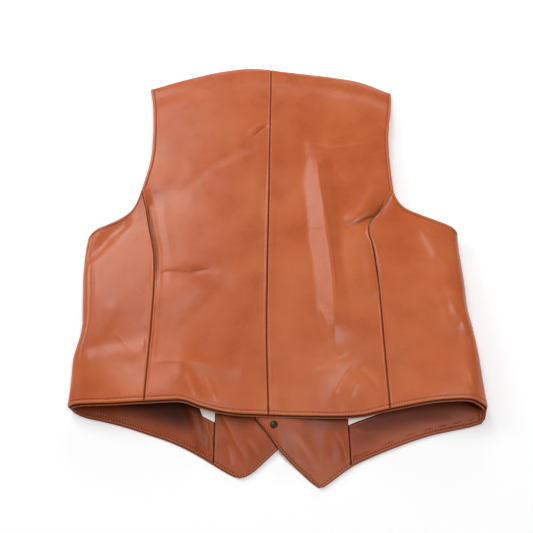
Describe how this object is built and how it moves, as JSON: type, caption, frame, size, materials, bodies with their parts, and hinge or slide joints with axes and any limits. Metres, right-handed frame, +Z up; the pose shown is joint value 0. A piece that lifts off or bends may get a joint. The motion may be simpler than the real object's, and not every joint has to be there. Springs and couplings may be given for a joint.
{
  "type": "leather vest laid flat",
  "caption": "Sleeveless leather vest with pointed fronts, closed and laid flat on its fronts, back up, with the hem gaping open",
  "frame": {"origin": "centre of the bottom face of the vest's bounding box, on the surface that it lies on", "axes": "+Z up from the surface through the thin way of the vest, +Y from the hem to the neck, +X to the right as the back is looked at with the neck away from the viewer"},
  "size_m": [0.4774, 0.602, 0.0305],
  "materials": {
    "outer_leather": "semi-gloss tan aniline leather",
    "facing_leather": "semi-gloss tan leather, inner side",
    "lining_cloth": "pale cream satin lining",
    "snap_brass": "antique brass"
  },
  "bodies": {
    "root": {"back_left": "outer_leather", "back_right": "outer_leather", "side_back_left": "outer_leather", "side_back_right": "outer_leather", "front_left": "outer_leather", "front_right": "outer_leather", "back_hem_facing_left": "facing_leather", "back_hem_facing_right": "facing_leather", "front_edge_facing_left": "facing_leather", "front_edge_facing_right": "facing_leather", "front_hem_facing_left": "facing_leather", "front_hem_facing_right": "facing_leather", "front_lining_left": "lining_cloth", "front_lining_right": "lining_cloth", "snap_socket_1": "snap_brass", "snap_socket_2": "snap_brass", "snap_socket_3": "snap_brass", "snap_socket_4": "snap_brass", "snap_stud_1": "snap_brass", "snap_stud_2": "snap_brass", "snap_stud_3": "snap_brass", "snap_stud_4": "snap_brass"}
  },
  "joints": []
}
